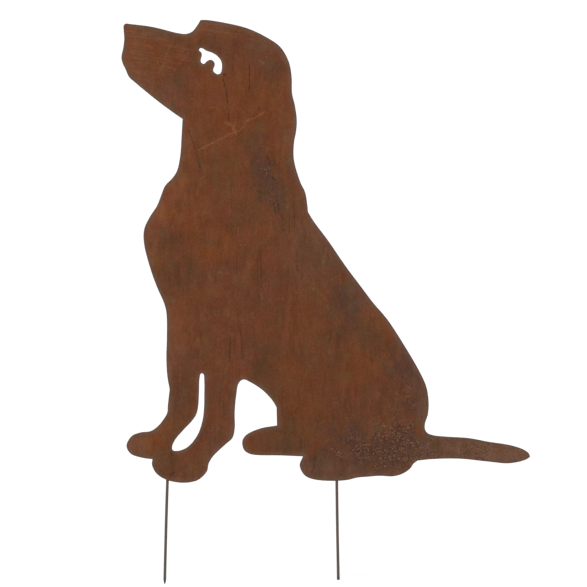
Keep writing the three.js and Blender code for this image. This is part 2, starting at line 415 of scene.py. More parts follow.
MAROON_STAINS = [
    ("head and neck", -43, 419, 60, 44, 0.45),
    ("behind the eye", -22, 459, 10, 16, 0.4),
    ("collar", -92, 290, 18, 24, 0.8, -20),
    ("chest", -66, 256, 24, 60, 0.4),
    ("ribs", 13, 259, 20, 14, 0.5),
    ("belly", 18, 180, 44, 52, 0.45),
    ("thigh", 89, 88, 48, 28, 0.5),
    ("far leg", -84, 130, 8, 22, 0.6),
]
# On the back the rain has run down from the welds and along the lower edge.
BACK_ASH_STAINS = [
    ("below the front welds", -91, 24, 9, 30, 0.7),
    ("below the rear welds", 91, 26, 10, 34, 0.7),
    ("back", 86, 214, 26, 50, 0.6, 32),
    ("haunch", 140, 52, 52, 30, 0.6),
]
BACK_OLIVE_STAINS = [
    ("chest", -62, 232, 26, 34, 0.6),
    ("head", -30, 446, 44, 26, 0.6),
    ("belly", 24, 138, 30, 22, 0.6),
]
BACK_EMBER_STAINS = [
    ("shoulder", -20, 280, 34, 40, 0.6),
    ("thigh", 96, 126, 36, 34, 0.7),
    ("neck", -6, 372, 30, 36, 0.5),
    ("tail", 244, 34, 44, 12, 0.5, -6),
]
BACK_CRUST_STAINS = [
    ("lower haunch", 120, 34, 74, 30, 0.5),
    ("feet", -80, 34, 50, 34, 0.45),
    ("muzzle", -104, 452, 30, 34, 0.35),
]

# The kinds of stain on either face, by the names of the values that the mesh holds.
SEEN_STAINS = dict(
    ash=ASH_STAINS, olive=OLIVE_STAINS, ember=EMBER_STAINS, fair=FAIR_STAINS, dust=DUST_STAINS,
    crust=CRUST_STAINS, moss=MOSS_STAINS, maroon=MAROON_STAINS, brushed=BRUSHED_STAINS,
)
BACK_STAINS = dict(
    ash=BACK_ASH_STAINS, olive=BACK_OLIVE_STAINS, ember=BACK_EMBER_STAINS, crust=BACK_CRUST_STAINS,
)

# A stain begins at the first of these shares of its half sizes and is full at the second. Noise makes
# its outline ragged.
STAIN_FADE = (1.8, 0.3)
STAIN_RAGGEDNESS = 0.7

# Lines on the seen face: what it is, half width, strength, and the points along it.
SCRATCHES = [
    ("muzzle, front", 1.8, 0.3, [(-84.4, 480), (-93, 463), (-99, 445)]),
    ("muzzle, rear", 1.8, 0.3, [(-63, 470), (-75, 458), (-84, 446)]),
    ("muzzle, middle", 0.8, 0.25, [(-88, 466), (-104, 470), (-120, 472)]),
    ("muzzle, nick", 0.9, 0.9, [(-102.5, 453.5), (-102, 455.5)]),
    ("neck, low", 1.3, 0.65, [(-58, 359), (-49, 364), (-41, 368), (-32, 372), (-24, 377)]),
    ("neck, bend", 2.1, 0.75, [(-29, 389), (-21, 384.6), (-18, 378)]),
    ("neck, strand", 0.8, 0.6, [(-19, 388), (-22, 380)]),
    ("neck, high", 1.4, 0.6, [(-22, 377), (-13, 381), (-5, 391), (3, 394.5)]),
    ("neck, end", 1.6, 0.5, [(3, 394.5), (9, 398), (14, 401.5)]),
    ("neck, knot", 1.8, 0.8, [(-6, 390.5), (-4, 392)]),
    ("neck, nick", 1.0, 0.7, [(-45, 365), (-43, 367)]),
    ("cheek", 0.9, 0.4, [(-46, 405), (-39, 406)]),
    ("temple", 0.9, 0.8, [(7, 456), (13, 453)]),
    ("back, upper", 0.9, 0.4, [(80, 253), (77, 240), (76, 229)]),
    ("belly", 0.8, 0.3, [(18, 197), (33, 199)]),
    ("chest", 0.6, 0.7, [(-86.5, 278), (-86, 272)]),
    ("ribs", 0.8, 0.5, [(-37, 227), (-33, 227.5)]),
    ("shoulder, upright", 0.7, 0.45, [(-15.2, 276), (-15.5, 266)]),
    ("shoulder, first", 0.7, 0.35, [(-18, 262), (-5, 261)]),
    ("shoulder, second", 0.7, 0.35, [(-16, 257), (-4, 256)]),
    ("ribs, upper", 0.6, 0.35, [(7, 240), (6.5, 219)]),
    ("ribs, lower", 0.7, 0.4, [(9, 209), (10.5, 192)]),
    ("withers", 0.7, 0.4, [(41, 284), (40.5, 266)]),
    ("withers, low", 0.8, 0.35, [(43, 270), (45, 262), (48, 256)]),
    ("back, slanted", 1.0, 0.35, [(50, 238), (56, 226), (60, 218)]),
    ("loin, hook", 1.5, 0.4, [(65, 210), (74, 204), (80, 196), (82, 187)]),
    ("loin, tuft", 0.7, 0.35, [(66, 221), (67, 209)]),
]
DARK_LINES = [
    ("drip from the eye", 0.8, 0.75, [(-32, 438), (-28, 422), (-26, 405), (-25.5, 392)]),
    ("corner of the eye", 1.6, 0.9, [(-31, 441), (-29, 441.5)]),
    ("temple", 0.8, 0.8, [(-3.5, 451), (-3, 436), (-3.5, 424)]),
    ("nape", 0.8, 0.6, [(7, 405), (7.5, 402)]),
    ("neck, first pit", 0.8, 0.6, [(-8, 403), (-7, 401.5)]),
    ("neck, second pit", 0.8, 0.6, [(11, 395), (12, 393.5)]),
    ("throat", 0.6, 0.75, [(-69, 381), (-65, 370), (-61, 357), (-57, 342)]),
    ("throat, end", 1.1, 1.0, [(-57, 342), (-56.5, 340.5)]),
    ("belly, front", 1.0, 0.55, [(-24, 168), (-24, 150), (-25, 132)]),
    ("belly, rear", 0.9, 0.55, [(-13, 166), (-11.5, 148), (-10, 132)]),
    ("belly, upper", 0.6, 0.4, [(6, 241), (6, 216), (7, 200)]),
    ("shoulder", 0.5, 0.5, [(-17, 250), (-17, 226)]),
    ("back", 0.5, 0.6, [(40, 292), (40, 270)]),
    ("near front paw, weld", 1.0, 1.0, [(-87.5, 9.6), (-84.5, 12)]),
    ("haunch, weld", 0.9, 0.8, [(95.5, 9), (96.5, 9.2)]),
    ("above the slit, first", 0.6, 0.5, [(-58.5, 147), (-58.5, 131)]),
    ("above the slit, second", 0.5, 0.5, [(-53, 144), (-53, 131)]),
    ("flank, fore", 0.6, 0.5, [(84, 166), (84.5, 150)]),
    ("flank, rear", 0.6, 0.5, [(91, 160), (92, 145)]),
    ("nape to back", 0.7, 0.6, [(45, 302), (45.5, 276)]),
    ("below the ear, first", 0.7, 0.75, [(23, 305), (24, 293)]),
    ("below the ear, second", 0.7, 0.75, [(27.5, 305), (28.5, 292)]),
    ("ribs", 0.6, 0.45, [(9, 252), (9.5, 212)]),
    ("ear, upper pits", 1.7, 0.6, [(15.5, 354), (19, 344)]),
    ("ear, middle pits", 1.7, 0.55, [(21.5, 330), (27.5, 323)]),
    ("ear, lower pits", 1.4, 0.5, [(5, 315), (13, 312)]),
    ("withers, pit", 1.2, 0.6, [(34, 273), (36, 273)]),
    ("back, pit", 0.9, 0.6, [(49, 230), (50, 229)]),
    ("near foreleg", 0.5, 0.5, [(-19, 160), (-19, 138)]),
    ("haunch toe, fold", 1.2, 0.5, [(67.5, 30), (67, 18), (64.5, 12)]),
    ("haunch, pocket", 2.2, 0.3, [(119, 45), (119, 32)]),
]

# The mesh has rows of points along every line. Noise makes the lines wander, swell and break up.
LINE_TRACE_STEP_MM = 0.8
LINE_TRACE_GAP_MM = 1.1
LINE_WANDER_MM = 0.6
LINE_EDGE_MM = 0.25
LINE_CORE_SHARE = 0.3
LINE_WIDTH_UNEVENNESS = 0.5
LINE_UNEVENNESS = 1.1
LINE_STRENGTHS = (0.2, 1.3)

# The noises in the rust: the length of their features in X, Y and Z in millimetres, how many finer
# layers they have, and the strength of each layer beside the one before.
NOISES = {
    "mottle": (10, 10, 14, 5, 0.62),
    "grain": (1.5, 1.5, 2.2, 6, 0.68),
    "cloud": (13, 13, 17, 5, 0.68),
    "broad cloud": (34, 34, 46, 3, 0.55),
    "red cloud": (14, 14, 20, 4, 0.55),
    "fair cloud": (9, 9, 15, 4, 0.6),
    "tint patch": (14, 14, 18, 5, 0.66),
    "dark speck": (0.9, 0.9, 1.3, 4, 0.65),
    "fresh speck": (1.2, 1.2, 1.7, 4, 0.65),
    "soft streak": (7, 10, 30, 4, 0.66),
    "sharp streak": (3, 8, 20, 2, 0.6),
    "streaked part": (18, 16, 26, 2, 0.55),
    "brush stroke": (26, 6, 2.2, 3, 0.6),
    "fleck cluster": (8, 8, 8, 3, 0.62),
    "fleck edge": (0.9, 0.9, 0.9, 3, 0.65),
    "edge mottle": (4, 4, 4, 3, 0.55),
    "edge drag": (0.5, 5, 0.5, 2, 0.6),
    "wire mottle": (3, 3, 9, 4, 0.6),
    "wire score": (0.5, 0.5, 22, 2, 0.6),
    "wire grain": (0.8, 0.8, 0.8, 2, 0.55),
    "weld mottle": (2.2, 2.2, 2.2, 4, 0.6),
    "weld grain": (0.5, 0.5, 0.5, 2, 0.55),
}
# The range that noise seldom leaves, the slope of the brushed streaks in degrees, the turn that lays
# the flecks' plane on the sheet, their spacing and scatter, and how many metres off the tints and the
# back take their noise.
NOISE_RANGE = (0.3, 0.7)
BRUSHED_SLOPE = -8
FACE_TO_FLAT = (-90, 0, 0)
FLECK_SPACING_MM = 2.0
FLECK_SCATTER = 0.85
TINT_SHIFT = 0.31
BACK_SHIFT = (1.7, 0.4, 2.3)

# The grey rim along the cut: how far the mottle and the grain wear it away, and how much farther off
# the cut of a hole counts.
RIM_MOTTLE_MM = 9
RIM_GRAIN_MM = 5
RIM_AT_HOLE = 1.3

# Every colour below is given as it looks in the soft light, in 0 to 255, and tone() turns it into the
# surface's own colour. A white surface would be LIGHT_GAIN times as bright as the picture's white, a
# rough one adds a pale veil, and none is darker than LEAST_TONE. Light grain loses colour by PALING.
LIGHT_GAIN = 1.31
SURFACE_VEIL = 0.0086
LEAST_TONE = 0.001
PALING = 0.25

BROWN = (108, 65, 43)
DARK_BROWN = (98, 61, 42)
RED_BROWN = (112, 63, 43)
FAIR_BROWN = (124, 76, 47)
EMBER = (116, 66, 34)
OLIVE = (90, 61, 41)
ASH = (86, 61, 50)
DUST = (117, 85, 68)
MOSS = (94, 71, 46)
MAROON = (112, 60, 46)
FLECK = (140, 106, 84)
PIT = (60, 36, 26)
GRAIN = (130, 82, 56)
SPECK = (64, 33, 16)
SCRATCH = (142, 92, 62)
# The next colour is painted sheen: the brush strokes are real, but their lighter brown stands in for their
# sheen.
BRUSHED_SHEEN = (126, 77, 47)
DARK_LINE = (62, 40, 31)
CUT_GREY = (106, 84, 71)
CUT_SCALE = (88, 70, 58)
WIRE_BROWN = (99, 82, 71)
WIRE_GREY = (90, 82, 76)
WIRE_RED = (108, 76, 58)
WELD_DARK = (72, 60, 56)
WELD_RUST = (106, 68, 48)
HEAT_BLUE = (66, 58, 60)
HEAT_STRAW = (112, 84, 58)

# Layers that come in with a noise or another value: the colour, the value at which it begins and at
# which it is full, and how much of it there is then. The rim's value is the distance from the cut.
DARK_CLOUDS = (DARK_BROWN, 0.42, 0.66, 0.7)
RED_CLOUDS = (RED_BROWN, 0.5, 0.7, 0.6)
FAIR_CLOUDS = (FAIR_BROWN, 0.52, 0.74, 0.7)
OLIVE_MOTTLE = (OLIVE, 0.5, 0.74, 0.6)
DARK_SPECKS = (SPECK, 0.56, 0.7, 0.55)
FRESH_SPECKS = (GRAIN, 0.56, 0.7, 0.6)
GREY_RIM = (CUT_GREY, 6.5, 0.5, 0.65)
RIM_LINE = (CUT_SCALE, 1.0, 0.3, 0.4)
MOSS_TINT = (MOSS, 0.5, 0.68, 0.45)
MAROON_TINT = (MAROON, 0.5, 0.32, 0.45)
HEAT_RIM = (HEAT_STRAW, 0.1, 0.45, 0.5)
HEAT_CORE = (HEAT_BLUE, 0.4, 0.85, 0.8)
EDGE_BROWN = (DARK_BROWN, 0.4, 0.65, 1)
EDGE_DRAGS = (CUT_GREY, 0.5, 0.75, 0.5)
WIRE_GREYING = (WIRE_GREY, 0.4, 0.62, 1)
WIRE_BLOOMS = (WIRE_RED, 0.42, 0.3, 0.7)
WELD_BLOOMS = (WELD_RUST, 0.38, 0.6, 1)

# Turns of one value into another: from where, to where and, unless they are 0 and 1, what these become.
PATCHY = (0.3, 0.62, 0.6, 1.18)
STREAKY = (0.35, 0.62, 1.18, 0.8)
FRAYED = (0.35, 0.65, 0.3, 1.7)
STREAKED_PART = (0.42, 0.6, 0.05, 1.1)
SHARP_STREAK = (0.45, 0.3, 0, -0.55)
BRUSHED_GLINT = (0.5, 0.7, 0, 0.5)
CRUST_CLUSTER = (0.39, 0.53)
FLECK_SIZE = (0, 1, 0.2, -0.12)
FLECK_MIDDLE = (0.38, 0.12)
FLECK_CRUST = (0.3, 0.75)
FLECK_PALENESS = (0.05, 0.95, 0.3, 1.3)
PIT_REACH = (0.46, 0.62)

# How strong the streaks' and tints' swings are, how far flecks and specks are bent and in what swirls,
# what noise adds to a fleck's reach, and how much of a colour marks, pits, tips and hollows have at most.
SOFT_STREAK_SWING = 0.7
BRUSH_STROKE_SWING = 1.3
MOSS_PULL = 0.14
SPECK_BEND_MM = (0.6, 4)
FLECK_BEND_MM = (0.35, 1.6)
FLECK_EDGE = (0.16, -0.16)
FLECK_AMOUNT = 0.5
PIT_AMOUNT = 0.55
SCRATCH_AMOUNT = 0.65
DARK_LINE_AMOUNT = 0.85
WIRE_TIP_AMOUNT = 0.4
WELD_HOLLOW_AMOUNT = 0.55

# The least and most light that a noise gives, or adds to another's.
STREAK_LIGHT = (0.92, 1.08)
GRAIN_LIGHT = (-0.12, 0.12)
CLOUD_LIGHT = (-0.06, 0.06)
WIRE_SCORE_LIGHT = (0.9, 1.1)
WIRE_GRAIN_LIGHT = (-0.06, 0.06)
WELD_LIGHT = (0.88, 1.12)

# The height of other relief beside the grain's, and of each surface the least and most roughness, the
# depth of the relief in millimetres, and the specular level.
STREAK_HEIGHT = 0.4
FLECK_HEIGHT = 0.4
WIRE_SCORE_HEIGHT = 0.6
SHEET_SURFACE = (0.78, 0.96, 0.3, 0.2)
EDGE_SURFACE = (0.6, 0.85, 0.1, 0.35)
WIRE_SURFACE = (0.6, 0.85, 0.1, 0.35)
WELD_SURFACE = (0.45, 0.8, 0.08, 0.5)


def tone(seen):
    """The surface colour that looks like seen, 0 to 255 in sRGB, under this scene's light."""
    linear = [((c / 255 + 0.055) / 1.055) ** 2.4 for c in seen]
    return [max(c / LIGHT_GAIN - SURFACE_VEIL, LEAST_TONE) for c in linear] + [1.0]


def smooth(value, low, high):
    """0 up to low, 1 from high on, and a soft step between them. It also steps down, if low > high."""
    share = np.clip((value - low) / (high - low), 0, 1)
    return share * share * (3 - 2 * share)


def noise_at(points, size_mm, seed, octaves):
    """Smooth noise from about -1 to 1 at each (x, y, z) in metres, with features of size_mm."""
    shift = Vector([seed * along for along in NOISE_SHIFT])
    scale = 1 / (size_mm * MM)
    return np.array([
        noise.fractal(Vector(p) * scale + shift, NOISE_ROUGHNESS, NOISE_LACUNARITY, octaves)
        for p in points
    ])


def noise_share(points, size_mm, seed, octaves):
    """The same noise as a share from 0 to 1."""
    return (0.5 + 0.5 * noise_at(points, size_mm, seed, octaves)).clip(0, 1)


class Nodes:
    """One material's node tree, with a short call for each kind of node that the rust is mixed from."""

    def __init__(self, name):
        self.material = bpy.data.materials.new(name)
        self.material.use_nodes = True
        self.tree = self.material.node_tree
        self.shader = self.tree.nodes["Principled BSDF"]

    def feed(self, node, inputs):
        """Links each named or numbered input of the node to a socket, or gives it a value of its own."""
        for name, value in inputs.items():
            if isinstance(value, bpy.types.NodeSocket):
                self.tree.links.new(value, node.inputs[name])
            else:
                node.inputs[name].default_value = value

    def add(self, kind, inputs, **settings):
        """A new node with these inputs and settings."""
        node = self.tree.nodes.new(kind)
        for setting, value in settings.items():
            setattr(node, setting, value)
        self.feed(node, inputs)
        return node

    def mapped(self, place, **changes):
        """The place moved, turned and scaled by the changes."""
        return self.add("ShaderNodeMapping", {"Vector": place, **changes}).outputs["Vector"]

    def place(self, shift=(0, 0, 0), turn=(0, 0, 0)):
        """Where a point is on the object, in metres, turned by degrees and moved by shift."""
        on_object = self.add("ShaderNodeTexCoord", {}).outputs["Object"]
        return self.mapped(on_object, Location=shift, Rotation=[math.radians(angle) for angle in turn])

    def noise(self, place, name):
        """One of the NOISES, from 0 to 1."""
        *sizes_mm, detail, roughness = NOISES[name]
        scaled = self.mapped(place, Scale=[1 / (size * MM) for size in sizes_mm])
        inputs = {"Vector": scaled, "Scale": 1, "Detail": detail, "Roughness": roughness}
        return self.add("ShaderNodeTexNoise", inputs).outputs["Fac"]

    def bent(self, place, reach_mm, size_mm):
        """The place moved by reach_mm, give or take as much again, in swirls of size_mm."""
        inputs = {"Vector": place, "Scale": 1 / (size_mm * MM), "Detail": 2}
        swirl = self.add("ShaderNodeTexNoise", inputs).outputs["Color"]
        inputs = {0: swirl, 1: [2 * reach_mm * MM] * 3, 2: place}
        return self.add("ShaderNodeVectorMath", inputs, operation="MULTIPLY_ADD").outputs["Vector"]

    def cells(self, place, size_mm):
        """The distance from the middle of the nearest of many cells, and a chance value for each."""
        scaled = self.mapped(place, Scale=[1 / (size_mm * MM)] * 3)
        inputs = {"Vector": scaled, "Scale": 1, "Randomness": FLECK_SCATTER}
        cells = self.add("ShaderNodeTexVoronoi", inputs, voronoi_dimensions="2D")
        split = self.add("ShaderNodeSeparateColor", {"Color": cells.outputs["Color"]})
        return cells.outputs["Distance"], split.outputs[0]

    def stored(self, name):
        """A value that the mesh holds at each vertex."""
        return self.add("ShaderNodeAttribute", {}, attribute_name=name).outputs["Fac"]

    def math(self, operation, first, second):
        return self.add("ShaderNodeMath", {0: first, 1: second}, operation=operation).outputs[0]

    def times(self, first, second):
        return self.math("MULTIPLY", first, second)

    def total(self, first, *others):
        for other in others:
            first = self.math("ADD", first, other)
        return first

    def swing(self, value, reach):
        """A value from 0 to 1 as a swing about 0 that is reach wide."""
        return self.times(self.math("SUBTRACT", value, 0.5), reach)

    def ramp(self, value, low, high, bottom=0.0, top=1.0):
        """value between low and high becomes bottom to top, and stays there beyond them."""
        inputs = {"Value": value, "From Min": low, "From Max": high, "To Min": bottom, "To Max": top}
        return self.add("ShaderNodeMapRange", inputs, interpolation_type="SMOOTHSTEP").outputs["Result"]

    def spread(self, value, bottom, top):
        """The range that noise seldom leaves becomes bottom to top."""
        return self.ramp(value, *NOISE_RANGE, bottom, top)

    def lay(self, colour, seen, amount):
        """The colour with seen laid over it by amount, from 0 to 1."""
        inputs = {"Factor": amount, 6: colour, 7: tone(seen)}
        return self.add("ShaderNodeMix", inputs, data_type="RGBA", clamp_factor=True).outputs[2]

    def cover(self, colour, layer, value):
        """The colour with a layer over it that comes in with the value."""
        seen, low, high, most = layer
        return self.lay(colour, seen, self.ramp(value, low, high, 0, most))

    def brighten(self, colour, factor, paling=0.0):
        """The colour times factor, its saturation divided by factor to the power of paling."""
        inputs = {"Color": colour, "Value": factor, "Saturation": self.math("POWER", factor, -paling)}
        return self.add("ShaderNodeHueSaturation", inputs).outputs["Color"]

    def finish(self, colour, height, rough, surface):
        """Sets the colour, the relief by its height and the roughness, most where rough is high."""
        least, most, depth_mm, specular = surface
        bump = self.add("ShaderNodeBump", {"Strength": 1, "Distance": depth_mm * MM, "Height": height})
        self.feed(self.shader, {
            "Base Color": colour,
            "Roughness": self.spread(rough, least, most),
            "Specular IOR Level": specular,
            "Normal": bump.outputs["Normal"],
        })
        return self.material


def sheet_rust(name, shift):
    """Rust of a broad face of the sheet: mottled, streaked, stained, and flecked where it is rough."""
    n = Nodes(name)
    place = n.place(shift)
    mottle = n.noise(place, "mottle")
    grain = n.noise(place, "grain")
    streak = streaks(n, shift)
    colour = ground_colour(n, place, mottle)
    colour = stained(n, colour, mottle, streak)
    colour = tinted(n, colour, n.place([along + TINT_SHIFT for along in shift]))
    colour = rimmed(n, colour, mottle, grain)
    light = n.total(n.spread(streak, *STREAK_LIGHT), n.spread(grain, *GRAIN_LIGHT))
    light = n.total(light, n.spread(n.noise(place, "cloud"), *CLOUD_LIGHT))
    colour = n.brighten(colour, light, PALING)
    colour = speckled(n, colour, place)
    colour, flecks = flecked(n, colour, shift)
    colour = marked(n, colour, grain)
    height = n.total(grain, n.times(streak, STREAK_HEIGHT), n.times(flecks, FLECK_HEIGHT))
    return n.finish(colour, height, grain, SHEET_SURFACE)


def speckled(n, colour, place):
    """Grains of darker and of fresher rust, too small to be seen one by one from afar."""
    colour = n.cover(colour, DARK_SPECKS, n.noise(place, "dark speck"))
    return n.cover(colour, FRESH_SPECKS, n.noise(n.bent(place, *SPECK_BEND_MM), "fresh speck"))


def rimmed(n, colour, mottle, grain):
    """The greyer rim along the cut, worn away unevenly, and the thin dark line at its very edge."""
    from_cut = n.stored("from_cut")
    uneven = n.total(n.swing(mottle, RIM_MOTTLE_MM), n.swing(grain, RIM_GRAIN_MM))
    colour = n.cover(colour, GREY_RIM, n.total(from_cut, uneven))
    return n.cover(colour, RIM_LINE, from_cut)


def streaks(n, shift):
    """Streaks from top to bottom, some of them dark and sharp, that run across where it is brushed."""
    place = n.place(shift)
    strength = n.ramp(n.noise(place, "streaked part"), *STREAKED_PART)
    dark = n.times(n.ramp(n.noise(place, "sharp streak"), *SHARP_STREAK), strength)
    down = n.total(n.swing(n.noise(place, "soft streak"), SOFT_STREAK_SWING), dark)
    stroke = n.noise(n.place(shift, turn=(0, BRUSHED_SLOPE, 0)), "brush stroke")
    brushed = n.stored("brushed")
    down = n.times(down, n.math("SUBTRACT", 1, brushed))
    return n.total(down, n.times(n.swing(stroke, BRUSH_STROKE_SWING), brushed), 0.5)


def ground_colour(n, place, mottle):
    """The even brown between the stains, with broad darker and redder clouds in it."""
    colour = n.cover(tone(BROWN), DARK_CLOUDS, n.noise(place, "broad cloud"))
    colour = n.cover(colour, RED_CLOUDS, n.noise(place, "red cloud"))
    colour = n.cover(colour, FAIR_CLOUDS, n.noise(place, "fair cloud"))
    return n.cover(colour, OLIVE_MOTTLE, mottle)


def tinted(n, colour, place):
    """Small patches of moss green and of maroon, more of the one or the other as the mesh says."""
    patch = n.total(n.noise(place, "tint patch"), n.times(n.stored("moss"), MOSS_PULL))
    return n.cover(n.cover(colour, MOSS_TINT, patch), MAROON_TINT, patch)


def stained(n, colour, mottle, streak):
    """The stains that the mesh holds, patchy or streaked inside, and fair streaks of painted sheen along the
    brush strokes where it is brushed.
    """
    patchy = n.ramp(mottle, *PATCHY)
    streaky = n.ramp(streak, *STREAKY)
    colour = n.lay(colour, FAIR_BROWN, n.times(n.stored("fair"), patchy))
    colour = n.lay(colour, EMBER, n.times(n.stored("ember"), patchy))
    colour = n.lay(colour, OLIVE, n.times(n.stored("olive"), streaky))
    colour = n.lay(colour, ASH, n.times(n.stored("ash"), streaky))
    colour = n.lay(colour, DUST, n.times(n.stored("dust"), patchy))
    # Painted sheen: a lighter brown laid along the brush strokes where it is brushed.
    return n.lay(colour, BRUSHED_SHEEN, n.times(n.stored("brushed"), n.ramp(streak, *BRUSHED_GLINT)))


def flecked(n, colour, shift):
    """Clusters of dark pits where the mesh holds crust, and pale flecks between them where it is thick."""
    place = n.place(shift, turn=FACE_TO_FLAT)
    cluster = n.times(n.ramp(n.noise(place, "fleck cluster"), *CRUST_CLUSTER), n.stored("crust"))
    reach, chance = n.cells(n.bent(place, *FLECK_BEND_MM), FLECK_SPACING_MM)
    uneven = n.spread(n.noise(place, "fleck edge"), *FLECK_EDGE)
    reach = n.total(reach, n.ramp(chance, *FLECK_SIZE), uneven)
    flecks = n.times(n.ramp(reach, *FLECK_MIDDLE), n.ramp(cluster, *FLECK_CRUST))
    flecks = n.times(flecks, n.ramp(chance, *FLECK_PALENESS))
    pits = n.times(n.ramp(reach, *PIT_REACH), cluster)
    colour = n.lay(colour, FLECK, n.times(flecks, FLECK_AMOUNT))
    return n.lay(colour, PIT, n.times(pits, PIT_AMOUNT)), flecks


def marked(n, colour, grain):
    """Scratches and dark lines, frayed by the grain, and the tint of the welds' heat."""
    frayed = n.ramp(grain, *FRAYED)
    scratch = n.times(n.stored("scratch"), frayed)
    dark_line = n.times(n.stored("dark_line"), frayed)
    colour = n.lay(colour, SCRATCH, n.times(scratch, SCRATCH_AMOUNT))
    colour = n.lay(colour, DARK_LINE, n.times(dark_line, DARK_LINE_AMOUNT))
    heat = n.stored("heat")
    return n.cover(n.cover(colour, HEAT_RIM, heat), HEAT_CORE, heat)


def cut_edge_rust():
    """The cut edge: dark scale with the fine drag lines of the cut across it."""
    n = Nodes("cut_edge_rust")
    place = n.place()
    mottle = n.noise(place, "edge mottle")
    drag = n.noise(place, "edge drag")
    colour = n.cover(tone(CUT_SCALE), EDGE_BROWN, mottle)
    return n.finish(n.cover(colour, EDGE_DRAGS, drag), drag, mottle, EDGE_SURFACE)


def wire_rust():
    """Drawn wire: greyer than the sheet, scored lengthwise, with redder blooms, darker at the tip."""
    n = Nodes("wire_rust")
    place = n.place()
    mottle = n.noise(place, "wire mottle")
    score = n.noise(place, "wire score")
    grain = n.noise(place, "wire grain")
    colour = n.cover(n.cover(tone(WIRE_BROWN), WIRE_GREYING, mottle), WIRE_BLOOMS, mottle)
    colour = n.lay(colour, DARK_LINE, n.times(n.stored("tip"), WIRE_TIP_AMOUNT))
    light = n.total(n.spread(score, *WIRE_SCORE_LIGHT), n.spread(grain, *WIRE_GRAIN_LIGHT))
    height = n.total(grain, n.times(score, WIRE_SCORE_HEIGHT))
    return n.finish(n.brighten(colour, light), height, grain, WIRE_SURFACE)


def weld_rust():
    """A tack weld: dark scale on the crests, fresher rust in the hollows and on the spatter."""
    n = Nodes("weld_rust")
    place = n.place()
    mottle = n.noise(place, "weld mottle")
    grain = n.noise(place, "weld grain")
    colour = n.cover(tone(WELD_DARK), WELD_BLOOMS, mottle)
    colour = n.lay(colour, EMBER, n.times(n.stored("hollow"), WELD_HOLLOW_AMOUNT))
    return n.finish(n.brighten(colour, n.spread(grain, *WELD_LIGHT)), grain, mottle, WELD_SURFACE)


def new_object(name, data):
    """An object with this data in the scene."""
    made = bpy.data.objects.new(name, data)
    bpy.context.scene.collection.objects.link(made)
    return made


def make_piece(name, vertices, faces, node, materials, values):
    """A smooth-shaded mesh that rides on the root and stands for one node of the frame."""
    mesh = bpy.data.meshes.new(name)
    mesh.from_pydata([tuple(v) for v in vertices], [], faces)
    mesh.update()
    for label, numbers in values.items():
        layer = mesh.attributes.new(label, "FLOAT", "POINT")
        layer.data.foreach_set("value", np.asarray(numbers, np.float32))
    for material in materials:
        mesh.materials.append(material)
    mesh.shade_smooth()
    piece = new_object(name, mesh)
    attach(piece, "root")
    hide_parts(node)
    return piece


def face_loops(node):
    """The outlines of the sheet's seen face, the tallest first, with the sheet on their left, in (x, z)."""
    solid = bmesh.new()
    solid.from_mesh(node.data)
    bmesh.ops.remove_doubles(solid, verts=solid.verts, dist=SAME_POINT_MM * MM)
    solid.normal_update()
    follows = {}
    for face in solid.faces:
        if face.normal.y > SEEN_NORMAL_Y:
            continue
        for corner in face.loops:
            beyond = [other for other in corner.edge.link_faces if other is not face]
            if beyond and beyond[0].normal.y > SEEN_NORMAL_Y:
                follows[corner.vert] = corner.link_loop_next.vert
    loops = []
    while follows:
        start, vertex = follows.popitem()
        loop = [start]
        while vertex is not start:
            loop.append(vertex)
            vertex = follows.pop(vertex)
        loops.append(np.array([(v.co.x, v.co.z) for v in loop]))
    solid.free()
    return sorted(loops, key=lambda loop: np.ptp(loop[:, 1]), reverse=True)


def loop_sides(loops):
    """Where every side of the loops starts and where it ends."""
    return np.concatenate(loops), np.concatenate([np.roll(loop, -1, axis=0) for loop in loops])


def curved(loop, step):
    """The loop as a smooth curve through its points, in pieces no longer than step. Corners stay sharp."""
    ahead = np.roll(loop, -1, axis=0) - loop
    length = np.linalg.norm(ahead, axis=1, keepdims=True)
    ahead /= length
    behind = np.roll(ahead, 1, axis=0)
    tangent = ahead * np.roll(length, 1, axis=0) + behind * length
    tangent /= np.linalg.norm(tangent, axis=1, keepdims=True)
    corner = (ahead * behind).sum(axis=1, keepdims=True) < math.cos(math.radians(CORNER_TURN))
    leaving = np.where(corner, ahead, tangent) * length
    arriving = np.roll(np.where(corner, behind, tangent), -1, axis=0) * length
    points = []
    for k, start in enumerate(loop):
        across = ahead[k] * length[k]
        pieces = math.ceil(length[k, 0] / step)
        for t in np.arange(pieces) / pieces:
            eased = start + t * t * (3 - 2 * t) * across
            points.append(eased + t * (1 - t) ** 2 * leaving[k] - t * t * (1 - t) * arriving[k])
    return np.array(points)


def inward(loop):
    """A unit vector into the sheet at each point of a loop that has the sheet on its left."""
    run = np.roll(loop, -1, axis=0) - np.roll(loop, 1, axis=0)
    run /= np.linalg.norm(run, axis=1, keepdims=True)
    return np.column_stack([-run[:, 1], run[:, 0]])


def grid_inside(loops, step):
    """The points of a triangular grid that lie inside the loops, each moved a little by chance."""
    starts, ends = loop_sides(loops)
    left, bottom = starts.min(axis=0)
    right, top = starts.max(axis=0)
    row_gap = step * math.sqrt(0.75)
    points = []
    for row, height in enumerate(np.arange(bottom + row_gap / 2, top, row_gap)):
        columns = np.arange(math.floor(left / step), math.ceil(right / step)) + row % 2 / 2
        points.extend((column * step, height) for column in columns)
    points = np.array(points)
    points = points[in_sheet(points, starts, ends)]
    moves = np.random.default_rng(GRID_SEED).uniform(-1, 1, points.shape)
    return points + moves * GRID_JITTER_MM * MM


def in_sheet(points, starts, ends):
    """Which points have an odd number of the outline's sides, from starts to ends, to their left."""
    sides_left = np.zeros(len(points), int)
    for (x0, z0), (x1, z1) in zip(starts, ends):
        if z0 != z1:
            level = (points[:, 1] > z0) != (points[:, 1] > z1)
            sides_left += level & (points[:, 0] > x0 + (points[:, 1] - z0) * (x1 - x0) / (z1 - z0))
    return sides_left % 2 == 1


